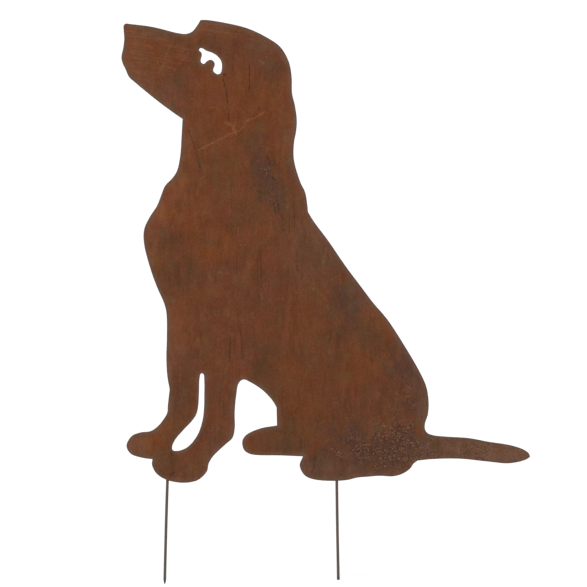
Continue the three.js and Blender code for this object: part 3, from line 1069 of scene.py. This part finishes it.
def distances(points, others):
    """From each (x, z) point, how far it is to the nearest of the others."""
    tree = kdtree.KDTree(len(others))
    for index, (x, z) in enumerate(others):
        tree.insert((x, 0, z), index)
    tree.balance()
    return np.array([tree.find((x, 0, z))[2] for x, z in points])


def line_parts(line):
    """The straight parts of a line, each as its start and the way to its end, in millimetres."""
    points = np.array(line, float)
    return zip(points[:-1], points[1:] - points[:-1])


def line_distance(points, line):
    """From each (x, z) point, in metres, how many millimetres it is to the line through some points."""
    nearest = np.full(len(points), np.inf)
    at = points / MM
    for start, along in line_parts(line):
        share = np.clip((at - start) @ along / (along @ along), 0, 1)
        nearest = np.minimum(nearest, np.linalg.norm(at - start - share[:, None] * along, axis=1))
    return nearest


def line_trace(lines):
    """Rows of points along every line, one in its middle and one on either side."""
    points = []
    for _, half_width, _, line in lines:
        for start, way in line_parts(line):
            length = np.linalg.norm(way)
            along = way / length
            across = np.array([-along[1], along[0]]) * (half_width + LINE_EDGE_MM)
            for run in np.arange(0, length, LINE_TRACE_STEP_MM):
                points.extend((start + along * run + across * side) * MM for side in (-1, 0, 1))
    return np.array(points)


def line_amount(points, lines, wander, uneven):
    """How strongly the lines mark each point, from 0 to 1. wander bends them, uneven breaks them up."""
    amount = np.zeros(len(points))
    for _, half_width, strength, line in lines:
        away = line_distance(points + wander, line) + LINE_WIDTH_UNEVENNESS * half_width * uneven
        near = smooth(away, half_width + LINE_EDGE_MM, half_width * LINE_CORE_SHARE)
        amount = np.maximum(amount, strength * near)
    return amount * (1 + LINE_UNEVENNESS * uneven).clip(*LINE_STRENGTHS)


def stain_amount(points, stains, ragged):
    """How strongly the stains cover each point, from 0 to 1. ragged breaks up their outlines."""
    left = np.ones(len(points))
    x, z = points.T / MM
    for _, centre_x, centre_z, half_width, half_height, strength, *lean in stains:
        turn = math.radians(lean[0] if lean else 0)
        across = (x - centre_x) * math.cos(turn) + (z - centre_z) * math.sin(turn)
        up = (z - centre_z) * math.cos(turn) - (x - centre_x) * math.sin(turn)
        reach = np.hypot(across / half_width, up / half_height) + STAIN_RAGGEDNESS * ragged
        left *= 1 - strength * smooth(reach, *STAIN_FADE)
    return 1 - left


def heat_amount(points, ragged):
    """The tint that welding left on the back of the sheet, from 0 to 1."""
    heat = np.zeros(len(points))
    for weld in WELDS:
        centre = np.array(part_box(weld)).mean(axis=0)[[0, 2]]
        reach = np.linalg.norm(points - centre, axis=1) / MM + HEAT_RAGGEDNESS_MM * ragged
        heat = np.maximum(heat, smooth(reach, *HEAT_REACH_MM))
    return heat


def at_depth(points, depth):
    """The (x, z) points as (x, y, z), with the depth as their y."""
    return np.insert(points, 1, depth, axis=1)


def cut_rings(loops):
    """The wavering line of the cut, and the lines along the cut edge at each point of its section."""
    low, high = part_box("dog_silhouette")
    into = np.concatenate([inward(loop) for loop in loops])
    cut = np.concatenate(loops)
    waver = noise_share(at_depth(cut, 0), *CUT_NOISE)
    cut = cut + into * waver[:, None] * CUT_WAVER_MM * MM
    cut = cut.clip([low.x, low.z], [high.x, high.z])
    return cut, [cut + into * inset * MM for inset, _ in CUT_SECTION]


def divided_face(loops, ring, after):
    """The points and small triangles of a broad face inside the ring, and which points are the ring's."""
    trace = line_trace(SCRATCHES + DARK_LINES)
    grid = grid_inside(loops, GRID_STEP_MM * MM)
    grid = grid[distances(grid, trace) > LINE_TRACE_GAP_MM * MM]
    inside = np.concatenate([grid, trace])
    inside = inside[distances(inside, ring) > GRID_CLEARANCE_MM * MM]
    corners = [Vector(p) for p in np.concatenate([ring, inside])]
    sides = list(enumerate(after))
    made = delaunay_2d_cdt(corners, sides, [], TRIANGLES_INSIDE, TRIANGULATION_GAP)
    points = np.array([tuple(p) for p in made[0]])
    triangles = np.array(made[2])
    triangles = triangles[in_sheet(points[triangles].mean(axis=1), ring, ring[after])]
    place = {source: index for index, sources in enumerate(made[3]) for source in sources}
    return points, triangles, np.array([place[k] for k in range(len(ring))])


def stain_amounts(points, stains, ragged):
    """The amount of every kind of stain at each point, with the moss less the maroon as one."""
    amounts = {kind: stain_amount(points, stains.get(kind, []), ragged) for kind in SEEN_STAINS}
    amounts["moss"] -= amounts.pop("maroon")
    return amounts


def face_dip(at, crust, from_cut):
    """How far the sheet's face lies under the frame's, in millimetres: slow waves, and pits in the crust."""
    pitted = BARE_PIT_SHARE + (1 - BARE_PIT_SHARE) * crust
    waves = SHEET_DIP_MM * noise_share(at, *WAVE_NOISE)
    pits = CRUST_DIP_MM * noise_share(at, *PIT_NOISE) * pitted
    return (waves + pits) * smooth(from_cut, *DIP_FROM_CUT_MM)


def seen_face(points, from_cut):
    """What the mesh holds at each point of the seen face, and how far each dips."""
    at = at_depth(points, 0)
    values = stain_amounts(points, SEEN_STAINS, noise_at(at, *STAIN_NOISE))
    uneven = noise_at(at, *LINE_NOISE)
    wander = np.column_stack([noise_at(at, *way) for way in WANDER_NOISES]) * LINE_WANDER_MM * MM
    values["scratch"] = line_amount(points, SCRATCHES, wander, uneven)
    values["dark_line"] = line_amount(points, DARK_LINES, wander, uneven)
    values["heat"] = np.zeros(len(points))
    return values, face_dip(at, values["crust"], from_cut) + values["scratch"] * SCRATCH_DEPTH_MM


def back_face(points, from_cut):
    """The same for the back, which has no lines on it but the tint of the welds' heat."""
    at = at_depth(points, BACK_NOISE_DEPTH)
    ragged = noise_at(at, *BACK_STAIN_NOISE)
    values = stain_amounts(points, BACK_STAINS, ragged)
    values["scratch"] = values["dark_line"] = np.zeros(len(points))
    values["heat"] = heat_amount(points, ragged)
    return values, face_dip(at, values["crust"], from_cut)


def dog_sheet(materials, outline):
    """The cut sheet: two finely divided faces with a shallow relief, and a rounded, wavering edge."""
    low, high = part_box("dog_silhouette")
    loops = [curved(loop, CUT_STEP_MM * MM) for loop in outline]
    after = []
    for loop in loops:
        first = len(after)
        after.extend(first + (k + 1) % len(loop) for k in range(len(loop)))
    cut, rings = cut_rings(loops)
    points, triangles, on_ring = divided_face(loops, rings[0], after)

    outer = len(loops[0])
    to_hole = distances(points, cut[outer:]) * RIM_AT_HOLE
    from_cut = np.minimum(distances(points, cut[:outer]), to_hole) / MM
    seen, seen_dip = seen_face(points, from_cut)
    back, back_dip = back_face(points, from_cut)
    layers = [at_depth(points, low.y + seen_dip * MM), at_depth(points, high.y - back_dip * MM)]
    for ring, (_, share) in zip(rings[1:-1], CUT_SECTION[1:-1]):
        layers.append(at_depth(ring, low.y + share * (high.y - low.y)))

    count = len(points)
    edge = np.arange((len(rings) - 2) * len(cut))
    values = {label: np.concatenate([seen[label], back[label], 0 * edge]) for label in seen}
    values["from_cut"] = np.concatenate([from_cut, from_cut, 0 * edge])
    faces = triangles.tolist() + (count + triangles[:, ::-1]).tolist()
    rows = [on_ring, *(2 * count + edge).reshape(-1, len(cut)), count + on_ring]
    for front, behind in zip(rows, rows[1:]):
        faces += np.column_stack([front, behind, behind[after], front[after]]).tolist()
    piece = make_piece(
        "dog_sheet", np.concatenate(layers), faces, "dog_silhouette", materials, values
    )
    kinds = np.repeat([0, 1, 2], [len(triangles), len(triangles), len(faces) - 2 * len(triangles)])
    piece.data.polygons.foreach_set("material_index", kinds.astype(np.int32))


def angles_round(sides):
    """The angles of as many points as there are sides, evenly spaced round a circle."""
    return np.arange(sides) * 2 * math.pi / sides


def tube_faces(rings, sides, first, start, end):
    """Faces between rings of points from index first on, closed by the points start and end."""
    faces = []
    last = first + (rings - 1) * sides
    for k in range(sides):
        beside = (k + 1) % sides
        faces.append((start, first + beside, first + k))
        faces.append((last + k, last + beside, end))
        for base in range(first, last, sides):
            faces.append((base + k, base + beside, base + sides + beside, base + sides + k))
    return faces


def wire_spike(node, material, seed, bow_mm, squeeze, end_length_mm):
    """A length of rusted wire. squeeze is what its tip keeps of the width and depth, after the cutter."""
    corners = np.array([v.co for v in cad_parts[node].data.vertices])
    low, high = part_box(node)
    radius = (high.y - low.y) / 2
    tip = corners[corners[:, 2] < low.z + WIRE_END_BAND_MM * MM].mean(axis=0)
    top = corners[corners[:, 2] > high.z - WIRE_END_BAND_MM * MM].mean(axis=0)
    length = np.linalg.norm(top - tip)
    along = (top - tip) / length
    side = np.cross([0, 1, 0], along)
    side /= np.linalg.norm(side)
    turns = angles_round(WIRE_SIDES)

    first, second = np.array(WIRE_END_RINGS_MM) * MM
    runs = np.arange(0, length, WIRE_RING_GAP_MM * MM)
    runs = np.concatenate([[0, first, second], runs[1:], [length - first, length]])
    vertices = []
    for run in runs:
        end_round = WIRE_END_ROUNDING if run in (0, length) else 1.0
        open_share = smooth(run / MM, WIRE_PINCH_START_MM, end_length_mm)
        wide, deep = (radius * end_round * (kept + (1 - kept) * open_share) for kept in squeeze)
        centre = tip + along * run + side * bow_mm * MM * math.sin(math.pi * run / length)
        ring = centre + np.outer(np.cos(turns) * wide, side)
        ring += np.outer(np.sin(turns) * deep, [0, 1, 0])
        pits = noise_share(ring, WIRE_PIT_SIZE_MM, seed, octaves=3) * WIRE_PIT_MM * MM
        vertices.append(ring + (centre - ring) / radius * pits[:, None])
    tip_sink, top_sink = np.array(WIRE_END_SINK_MM) * MM
    vertices += [[tip + along * tip_sink], [top - along * top_sink]]
    dark = np.concatenate([np.repeat(smooth(runs / MM, *WIRE_DARK_TIP_MM), WIRE_SIDES), [1, 0]])
    caps = len(runs) * WIRE_SIDES
    faces = tube_faces(len(runs), WIRE_SIDES, 0, caps, caps + 1)
    make_piece(
        f"{node}_wire", np.concatenate(vertices), faces, node, [material], {"tip": dark}
    )


def dome(centre, half, turns, rings):
    """Points, rim shares and faces of a closed low dome that stands out of the sheet along +Y."""
    shares = np.repeat(np.arange(1, rings + 1) / rings, turns)
    angles = np.tile(angles_round(turns), rings)
    rise = np.sqrt(1 - shares ** 2)
    out = np.column_stack([shares * np.cos(angles), rise, shares * np.sin(angles)])
    points = centre + half * np.concatenate([[[0, 1, 0]], out, [[0, 0, 0]]])
    return points, np.concatenate([[0], shares, [1]]), tube_faces(rings, turns, 1, 0, len(points) - 1)


def spatter(centre, half, outline, seed):
    """The places and radii of small beads in the corners that the weld leaves free on the sheet."""
    rng = np.random.default_rng(seed)
    starts, ends = loop_sides(outline)
    about = SPATTER_MARGIN * np.array([[0, 0], [1, 0], [-1, 0], [0, 1], [0, -1]])
    beads = []
    for _ in range(SPATTER_TRIES):
        radius = rng.uniform(*SPATTER_RADIUS_MM) * MM
        across, up = rng.uniform(-1, 1, 2) * (half[[0, 2]] - radius)
        spot = centre + np.array([across, 0, up])
        beside_weld = math.hypot(across / half[0], up / half[2]) > SPATTER_FROM_WELD
        clear = all(math.dist(spot, other) > radius + size for other, size in beads)
        if beside_weld and clear and in_sheet(spot[[0, 2]] + about * radius, starts, ends).all():
            beads.append((spot, radius))
    return beads


def tack_weld(node, material, outline, seed):
    """A rippled tack weld over the wire, with a few beads of spatter on the sheet beside it."""
    low, high = np.array(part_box(node))
    sheet_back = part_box("dog_silhouette")[1].y
    centre = (low + high) / 2
    half = (high - low) / 2
    centre[1] = sheet_back
    half[1] = high[1] - sheet_back
    vertices, shares, faces = dome(centre, half, WELD_TURNS, WELD_RINGS)

    across, _, up = ((vertices - centre) / half).T
    ripple = np.cos((up + WELD_RIPPLE_BEND * across ** 2) * WELD_RIPPLES * math.pi)
    inner = 1 - shares ** WELD_RIM_POWER
    hollow = (0.5 - 0.5 * ripple) * inner
    lumps = noise_share(vertices, WELD_LUMP_SIZE_MM, seed, octaves=2)
    drop = hollow * WELD_RIPPLE_MM + (1 - lumps) * inner * WELD_LUMP_MM
    vertices[:, 1] = np.maximum(vertices[:, 1] - drop * MM, sheet_back - WELD_ROOT_MM * MM)

    for spot, radius in spatter(centre, half, outline, seed):
        bead, _, bead_faces = dome(spot, radius, SPATTER_TURNS, SPATTER_RINGS)
        faces += [tuple(v + len(vertices) for v in face) for face in bead_faces]
        vertices = np.concatenate([vertices, bead])
        hollow = np.append(hollow, np.ones(len(bead)))
    make_piece(f"{node}_bead", vertices, faces, node, [material], {"hollow": hollow})


def studio():
    """A plain white floor under the spikes, white all round, and one broad soft light from the front."""
    world = bpy.data.worlds.new("white_studio")
    bpy.context.scene.world = world
    world.use_nodes = True
    sky = world.node_tree.nodes["Background"]
    sky.inputs["Color"].default_value = (1, 1, 1, 1)
    sky.inputs["Strength"].default_value = SKY_STRENGTH

    half = FLOOR_HALF_WIDTH
    height = CAD_BOX[0].z - FLOOR_GAP_MM * MM
    corners = [(-half, -half, height), (half, -half, height), (half, half, height), (-half, half, height)]
    mesh = bpy.data.meshes.new("floor")
    mesh.from_pydata(corners, [], [(0, 1, 2, 3)])
    paint = bpy.data.materials.new("floor_white")
    paint.use_nodes = True
    shader = paint.node_tree.nodes["Principled BSDF"]
    shader.inputs["Base Color"].default_value = FLOOR_WHITE
    shader.inputs["Roughness"].default_value = FLOOR_ROUGHNESS
    mesh.materials.append(paint)
    new_object("floor", mesh)

    lamp = bpy.data.lights.new("soft_key", "AREA")
    lamp.size = LAMP_SIZE
    lamp.energy = LAMP_ENERGY
    key = new_object("soft_key", lamp)
    key.location = LAMP_PLACE
    aim = Vector((VIEW_CENTRE[0], 0, VIEW_CENTRE[1])) - key.location
    key.rotation_euler = aim.to_track_quat("-Z", "Y").to_euler()


def camera():
    """The photograph's view: square to the sheet and level with the middle of the frame."""
    lens = bpy.data.cameras.new("camera")
    lens.sensor_width = SENSOR_WIDTH_MM
    lens.lens = SENSOR_WIDTH_MM * CAMERA_DISTANCE / VIEW_WIDTH
    seen_face_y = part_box("dog_silhouette")[0].y
    eye = new_object("camera", lens)
    eye.location = (VIEW_CENTRE[0], seen_face_y - CAMERA_DISTANCE, VIEW_CENTRE[1])
    eye.rotation_euler = (math.pi / 2, 0, 0)
    bpy.context.scene.camera = eye
    bpy.context.scene.view_settings.view_transform = "Standard"


camera()
studio()
outline = face_loops(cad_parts["dog_silhouette"])
rust = [
    sheet_rust("seen_face_rust", (0, 0, 0)),
    sheet_rust("back_face_rust", BACK_SHIFT),
    cut_edge_rust(),
]
dog_sheet(rust, outline)
wire = wire_rust()
wire_spike("front_spike", wire, seed=11, bow_mm=-0.4, squeeze=(0.5, 0.8), end_length_mm=5)
wire_spike("rear_spike", wire, seed=12, bow_mm=-0.35, squeeze=(0.88, 0.88), end_length_mm=0.8)
bead = weld_rust()
for index, weld in enumerate(WELDS):
    tack_weld(weld, bead, outline, WELD_SEED + index)
